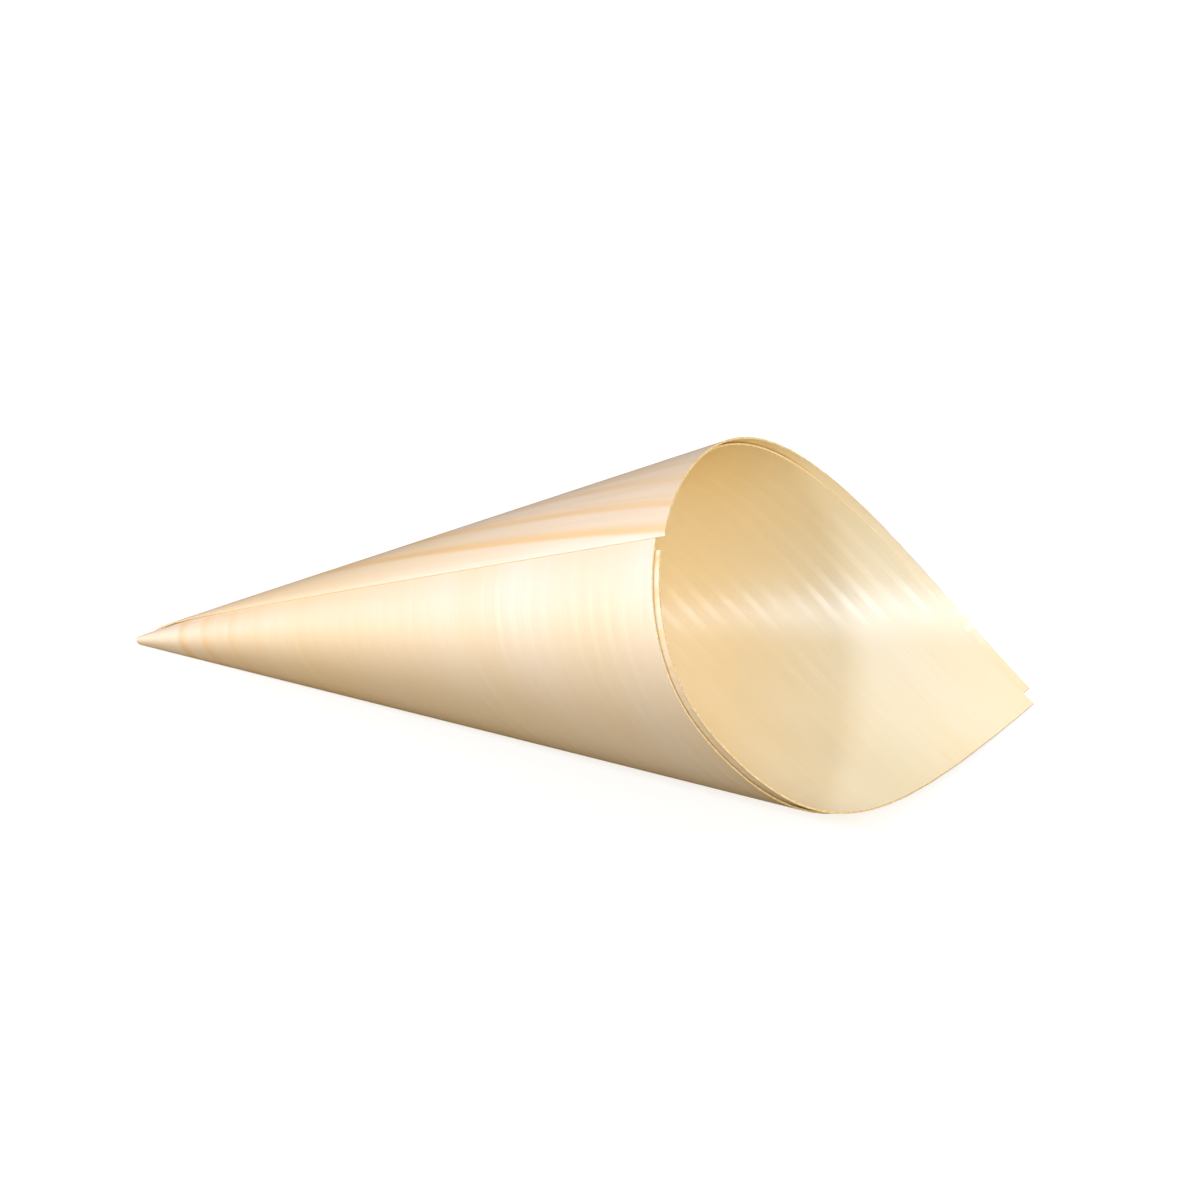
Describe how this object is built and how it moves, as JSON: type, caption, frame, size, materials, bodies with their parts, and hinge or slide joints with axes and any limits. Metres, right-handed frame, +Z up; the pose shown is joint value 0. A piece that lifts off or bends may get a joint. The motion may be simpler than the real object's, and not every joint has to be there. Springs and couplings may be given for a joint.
{
  "type": "wooden food cone",
  "caption": "Pointed cone rolled from thin pale wood veneer, open at the wide end with a pointed flap, for serving finger food.",
  "frame": {"origin": "centre of the bounding box in plan, on the ground that the cone lies on", "axes": "+X from the tip to the flap, along the line of the cone that touches the ground; +Z up; the mouth opens towards +X and slopes up"},
  "size_m": [0.1796, 0.0702, 0.0642],
  "materials": {
    "pine_veneer": "satin"
  },
  "bodies": {
    "root": {"rolled_veneer_sheet": "pine_veneer"}
  },
  "joints": []
}
